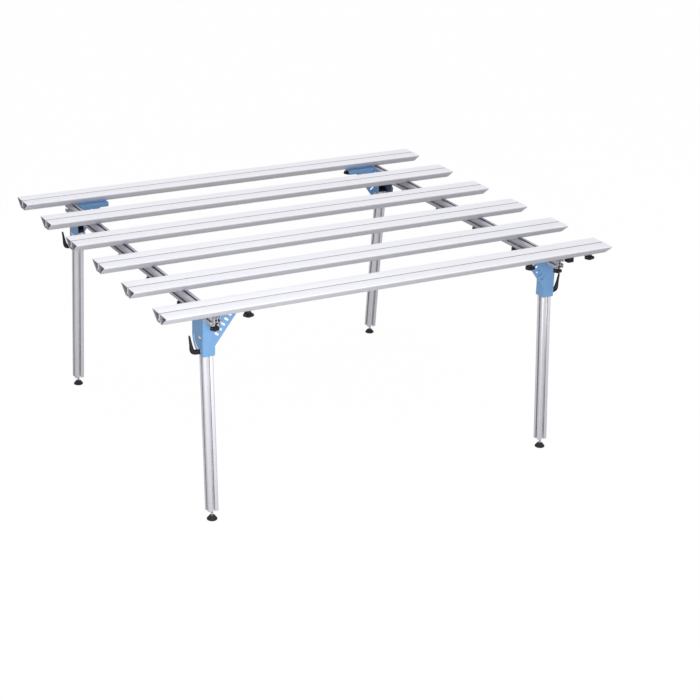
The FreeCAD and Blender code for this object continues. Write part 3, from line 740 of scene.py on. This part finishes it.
# Clamp studs and levers: a stud with a washer runs in the bracket's curved slot, and a J-shaped
# handle turns it tight. The stud is zinc-plated steel; the handle is moulded round it
# in black plastic, thick at the elbow and thin at the tip.
STUD_START = 0.7042
STUD_RADIUS = 0.004
STUD_TIP = 0.0005
STUD_IN_HUB = 0.014
WASHER_START = 0.7228
WASHER_RADIUS = 0.010
WASHER_THICKNESS = 0.002
WASHER_RELIEF = 0.0003
WASHER_EASING = (0.0004, 0.0006)
HUB_RADIUS = 0.009
ELBOW_X = 0.7518
HANDLE_HEIGHT = 0.0646
HANDLE_OUT = 0.0108
HANDLE_ROUND_STEPS = 6
HANDLE_LONG_STEPS = 8
HANDLE_ORDER = 3
HANDLE_POINTS = (
    (0.0, 0.0, 1.0),
    (0.45, 0.0, 1.0),
    (0.86, 0.03, 0.98),
    (1.0, 0.16, 0.93),
    (1.0, 0.45, 0.62),
    (1.0, 0.80, 0.44),
    (1.0, 0.96, 0.40),
    (1.0, 1.0, 0.18),
)


def handle(name, stud, side, coat):
    """A smooth tube from the washer out to the elbow and up to the tip, thinner along the way.

    A point of it holds how far out it is, how high it is and how thick the tube is there."""
    curve = bpy.data.curves.new(name, "CURVE")
    curve.dimensions = "3D"
    curve.bevel_depth = HUB_RADIUS
    curve.bevel_resolution = HANDLE_ROUND_STEPS
    curve.resolution_u = HANDLE_LONG_STEPS
    curve.use_fill_caps = True
    line = curve.splines.new("NURBS")
    line.points.add(len(HANDLE_POINTS) - 1)
    root = WASHER_START + WASHER_THICKNESS
    for point, (out, rise, thickness) in zip(line.points, HANDLE_POINTS):
        reach = root + out * (ELBOW_X - root) + rise * HANDLE_OUT
        point.co = (side * reach, stud.y, stud.z + rise * HANDLE_HEIGHT, 1.0)
        point.radius = thickness
    line.order_u = HANDLE_ORDER
    line.use_endpoint_u = True
    curve.materials.append(coat)
    rough = bpy.data.objects.new(name, curve)
    bpy.context.scene.collection.objects.link(rough)
    return settled(rough, f"{name}_finished")


stud_low = STUD_START - WASHER_START
stud_high = WASHER_THICKNESS + STUD_IN_HUB
stud_profile = rod_tip(STUD_RADIUS, stud_low)
stud_profile += rolled_thread(STUD_RADIUS, stud_low + STUD_TIP, -WASHER_RELIEF)
stud_profile += eased(
    [
        (STUD_RADIUS, 0, 0),
        (WASHER_RADIUS, 0, 0, WASHER_EASING[0]),
        (WASHER_RADIUS, 0, WASHER_THICKNESS, WASHER_EASING[1]),
        (STUD_RADIUS, 0, WASHER_THICKNESS),
        (STUD_RADIUS, 0, stud_high),
        (0, 0, stud_high),
    ]
)
for corner, (side, _) in CORNERS.items():
    stud = Vector(AXES[f"lever_{corner}_turn"])
    node = f"clamp_stud_{corner}"
    stand = ((side * WASHER_START, stud.y, stud.z), (side, 0, 0))
    stand_for(turned(node, stud_profile, [stand], zinc_finish), node)
    node = f"clamp_lever_{corner}"
    stand_for(handle(node, stud, side, plastic_finish), node)


# Levelling feet: a threaded stem screwed up into the bore of the leg, its ball end snapped into a
# swivelling pad. The stem is zinc-plated steel; the pad is moulded in hard black plastic,
# with a rim round its sole.
BALL_RADIUS = 0.006
BALL_CENTRE = 0.012
BALL_ANGLES = range(0, 151, 15)
STEM_NECK_RADIUS = 0.003
STEM_NECK_TOP = 0.012
STEM_RADIUS = 0.005
STEM_TOP = 0.069
STEM_SHOULDER_SHARE = 0.9
STEM_SHOULDER = 0.0002
STEM_THREAD_START = 0.0006
STEM_TIP = 0.001
PAD_RIM = 0.019
PAD_TOP = 0.009
PAD_HEIGHT = 0.0165
PAD_MOUTH = 0.0054
PAD_MOUTH_EASING = 0.0006
PAD_SOLE = 0.0006
PAD_SKIRT = (
    (0.86, PAD_SOLE, 0.0003),
    (0.88, 0, 0.0004),
    (0.97, 0, 0.0006),
    (1.0, 0.0012, 0.0008),
    (1.0, 0.0040, 0.001),
    (0.94, 0.0054, 0.0008),
    (0.80, 0.0085, 0.003),
)
PAD_CROWN = ((1.28, 0.0130, 0.003), (1.0, PAD_HEIGHT, 0.0016))
PAD_COLUMNS = 64
CUP_RADIUS = 0.0063
CUP_ANGLES = (59, 75, 90, 110, 130, 150, 165, 180)
FOOT_GRAIN = 900.0
FOOT_ROUGHNESS = 0.5
stem_profile = [
    (BALL_RADIUS * math.sin(turn), 0, -BALL_RADIUS * math.cos(turn))
    for turn in map(math.radians, BALL_ANGLES)
]
stem_profile += [
    (STEM_NECK_RADIUS, 0, STEM_NECK_TOP),
    (STEM_RADIUS * STEM_SHOULDER_SHARE, 0, STEM_NECK_TOP + STEM_SHOULDER),
]
stem_profile += rolled_thread(STEM_RADIUS, STEM_NECK_TOP + STEM_THREAD_START, STEM_TOP - STEM_TIP)
stem_profile += [(STEM_RADIUS * TIP_SHARE, 0, STEM_TOP), (0, 0, STEM_TOP)]
pad_profile = eased(
    [
        (0, 0, PAD_SOLE),
        *((PAD_RIM * share, 0, height, easing) for share, height, easing in PAD_SKIRT),
        *((PAD_TOP * share, 0, height, easing) for share, height, easing in PAD_CROWN),
        (PAD_MOUTH, 0, PAD_HEIGHT, PAD_MOUTH_EASING),
    ]
)
pad_profile += [
    (CUP_RADIUS * math.sin(turn), 0, BALL_CENTRE + CUP_RADIUS * math.cos(turn))
    for turn in map(math.radians, CUP_ANGLES)
]
foot_finish = moulded("foot_hard_plastic", PLASTIC_TONES, FOOT_GRAIN, FOOT_ROUGHNESS)
for corner, (_, end) in CORNERS.items():
    foot = Vector(AXES[f"pad_{corner}_swivel"])
    node = f"foot_stem_{corner}"
    lean = (0, -end * math.sin(LEG_SPLAY), math.cos(LEG_SPLAY))
    stand_for(turned(node, stem_profile, [(foot, lean)], zinc_finish), node)
    node = f"foot_pad_{corner}"
    stand = ((foot.x, foot.y, 0), (0, 0, 1))
    stand_for(turned(node, pad_profile, [stand], foot_finish, PAD_COLUMNS), node)


# Star knobs: five-lobed hand knobs that clamp the slats to the beams and flanges from below.
# Moulded in black plastic over a zinc-plated stud that reaches up into a tee nut.
KNOB_HEIGHT = 0.011
KNOB_CROWN = 0.003
KNOB_LOBES = 5
KNOB_COLUMNS = 80
KNOB_STEPS = 4
KNOB_EASINGS = (0, 0.001, 0.0012, 0.0012, 0.0016, 0.003, 0.003, 0.0018, 0.001, 0.0015, 0.0006, 0)
CROWN_DISH = {"share": 0.8, "depth": 0.7}
CROWN_FOOT = {"share": 0.94, "wave": 0.1, "depth": 0.25}
LOBE_SHOULDER = 0.3
NECK_FLARE = {"share": 1.15, "height": 0.12}
NECK_STRAIGHT = 0.4
SMALL_KNOB = {
    "lobe": 0.017,
    "core": 0.0115,
    "crown": 0.007,
    "shoulder": 0.97,
    "neck": 0.008,
    "neck_length": 0.006,
}
LARGE_KNOB = {
    "lobe": 0.020,
    "core": 0.0135,
    "crown": 0.008,
    "shoulder": 0.87,
    "neck": 0.009,
    "neck_length": 0.012,
}
KNOBS = {
    "beam": {"shape": SMALL_KNOB, "seat": 0.7417, "stud": 0.0463},
    "bracket": {"shape": LARGE_KNOB, "seat": 0.7767, "stud": 0.0113},
    "end": {"shape": LARGE_KNOB, "seat": 0.7797, "stud": 0.0083},
}
KNOB_STUD_COLUMNS = 20
KNOB_STUD_SHARE = 0.85
KNOB_STUD_SUNK = 0.001


def star_profile(lobe, core, crown, shoulder, neck, neck_length):
    """From the crown at the bottom, over the lobes, to the seat of the neck at height zero."""
    middle, wave = (lobe + core) / 2, (lobe - core) / 2
    top, bottom = -neck_length, -neck_length - KNOB_HEIGHT
    dish = bottom - KNOB_CROWN * CROWN_DISH["depth"]
    foot = bottom - KNOB_CROWN * CROWN_FOOT["depth"]
    corners = [
        (0, 0, dish),
        (crown * CROWN_DISH["share"], 0, dish),
        (crown, 0, bottom - KNOB_CROWN),
        (core * CROWN_FOOT["share"], wave * CROWN_FOOT["wave"], foot),
        (middle * shoulder, wave * shoulder, bottom),
        (middle, wave, bottom + KNOB_HEIGHT * LOBE_SHOULDER),
        (middle, wave, top - KNOB_HEIGHT * LOBE_SHOULDER),
        (middle * shoulder, wave * shoulder, top),
        (neck * NECK_FLARE["share"], 0, top + neck_length * NECK_FLARE["height"]),
        (neck, 0, top + neck_length * NECK_STRAIGHT),
        (neck, 0, 0),
        (0, 0, 0),
    ]
    rounded = [(*corner, easing) for corner, easing in zip(corners, KNOB_EASINGS)]
    return eased(rounded, KNOB_STEPS)


def star_knob(node, kind):
    """One knob and its stud, standing for the CAD's single knob."""
    sizes = KNOBS[kind]
    x, y, _ = AXES[f"{node}_turn"]
    stand = ((x, y, sizes["seat"]), (0, 0, 1))
    profile = star_profile(**sizes["shape"])
    stand_for(turned(node, profile, [stand], plastic_finish, KNOB_COLUMNS, KNOB_LOBES), node)
    low, high = -KNOB_STUD_SUNK, sizes["stud"]
    stud = [(0, 0, low), (STUD_RADIUS * KNOB_STUD_SHARE, 0, low)]
    stud += rolled_thread(STUD_RADIUS, 0, high - KNOB_STUD_SUNK)
    stud += [(STUD_RADIUS * TIP_SHARE, 0, high), (0, 0, high)]
    rod = stand_for(turned(f"{node}_stud", stud, [stand], zinc_finish, KNOB_STUD_COLUMNS), node)


for side in ("left", "right"):
    for number in SLAT_NUMBERS:
        star_knob(f"beam_knob_{side}_{number}", "beam")
for corner in CORNERS:
    star_knob(f"bracket_knob_{corner}", "bracket")
star_knob("end_knob", "end")


# Slider block: a small stop that hangs in the slot of the front slat beside the right-hand beam.
# Moulded in black plastic, with the round edges of its mould.
SLIDER_EDGE = 0.0012
SLIDER_SEGMENTS = 3
node = "slot_slider"
block = softened(merged_copy(node), node, SLIDER_EDGE, (plastic_finish,), SLIDER_SEGMENTS)
stand_for(block, node)


# Studio: a pale floor that shows nearly white to the camera and keeps a faint shadow of the bench,
# white air, two soft lamps at the front left, one high and one low, and one overhead.
WHITE = (1, 1, 1, 1)
FLOOR_HALF = 30.0
FLOOR_TONES = ((0.31, 0.31, 0.31), (0.33, 0.33, 0.33))
FLOOR_GRAIN = 30.0
FLOOR_ROUGHNESS = 0.9
FLOOR_GLOW = 1.075
SEEN_WHITE = 0.90
SEEN_IN_GLOSS = 0.18
AIR = 0.68


def studio_floor():
    """A matt floor, most of it replaced by plain white for the camera and some of it in gloss."""
    made, shade, shader = finish("studio_floor")
    grain = noise(shade, own_place(shade), FLOOR_GRAIN)
    tone = blend_of(shade, grain, *FLOOR_TONES)
    fill(shade, shader, Base_Color=tone, Roughness=FLOOR_ROUGHNESS)
    camera_ray = shade.node("ShaderNodeLightPath", out="Is Camera Ray")
    glossy_ray = shade.node("ShaderNodeLightPath", out="Is Glossy Ray")
    factor = camera_ray * SEEN_WHITE + glossy_ray * SEEN_IN_GLOSS
    glow = shade.node("ShaderNodeEmission", {}, {"Color": WHITE, "Strength": FLOOR_GLOW})
    plain = Socket(shade.tree, shader.outputs[0])
    mixed = shade.node("ShaderNodeMixShader", {}, {0: factor, 1: plain, 2: glow})
    output = shade.tree.nodes["Material Output"]
    shade.tree.links.new(mixed.socket, output.inputs["Surface"])
    return made


floor_mesh = bpy.data.meshes.new("floor")
floor_mesh.from_pydata(
    [
        (-FLOOR_HALF, -FLOOR_HALF, 0),
        (FLOOR_HALF, -FLOOR_HALF, 0),
        (FLOOR_HALF, FLOOR_HALF, 0),
        (-FLOOR_HALF, FLOOR_HALF, 0),
    ],
    [],
    [(0, 1, 2, 3)],
)
floor_mesh.materials.append(studio_floor())
floor = bpy.data.objects.new("floor", floor_mesh)
bpy.context.scene.collection.objects.link(floor)

world = bpy.data.worlds.new("studio_air")
bpy.context.scene.world = world
world.use_nodes = True
air = Socket(world.node_tree)
camera_ray = air.node("ShaderNodeLightPath", out="Is Camera Ray")
glossy_ray = air.node("ShaderNodeLightPath", out="Is Glossy Ray")
strength = AIR + camera_ray * (1 - AIR) + glossy_ray * (1 - AIR)
backdrop = world.node_tree.nodes["Background"]
backdrop.inputs["Color"].default_value = WHITE
world.node_tree.links.new(strength.socket, backdrop.inputs["Strength"])


def soft_lamp(name, place, aim, side, power):
    lamp = bpy.data.lights.new(name, "AREA")
    lamp.shape = "SQUARE"
    lamp.size = side
    lamp.energy = power
    hung = bpy.data.objects.new(name, lamp)
    hung.location = place
    hung.visible_camera = False
    hung.rotation_euler = (Vector(aim) - Vector(place)).to_track_quat("-Z", "Y").to_euler()
    bpy.context.scene.collection.objects.link(hung)


soft_lamp("front_high", place=(-2.1, -3.8, 2.3), aim=(0, -0.3, 0.5), side=1.6, power=32)
soft_lamp("front_low", place=(-1.3, -2.8, 1.1), aim=(0, -0.6, 0.5), side=1.2, power=33)
soft_lamp("overhead", place=(0.3, 0.6, 4.2), aim=(0, 0.3, 0.6), side=3.5, power=27)


# Camera: some way in front of the bench, to its left and well above its top.
# A short telephoto lens, its frame shifted so that the bench stands left of the middle.
EYE = Vector((-2.89194, -5.43605, 2.77541))
TURN, RISE, ROLL = math.radians(-27.79), math.radians(22.14), math.radians(1.08)
SENSOR_WIDTH = 36.0
FOCAL_LENGTH = 86.02
FRAME_SHIFT = (0.0773, 0.0023)
flat_reach = math.cos(RISE)
back = Vector((math.sin(TURN) * flat_reach, -math.cos(TURN) * flat_reach, math.sin(RISE)))
level = Vector((0, 0, 1)).cross(back).normalized()
rise = back.cross(level)
right = level * math.cos(ROLL) + rise * math.sin(ROLL)
up = rise * math.cos(ROLL) - level * math.sin(ROLL)
lens = bpy.data.cameras.new("camera")
lens.sensor_width = SENSOR_WIDTH
lens.lens = FOCAL_LENGTH
lens.shift_x, lens.shift_y = FRAME_SHIFT
camera = bpy.data.objects.new("camera", lens)
turned_to = Matrix((right, up, back)).transposed().to_4x4()
camera.matrix_world = Matrix.Translation(EYE) @ turned_to
bpy.context.scene.collection.objects.link(camera)
bpy.context.scene.camera = camera
bpy.context.scene.view_settings.view_transform = "Standard"
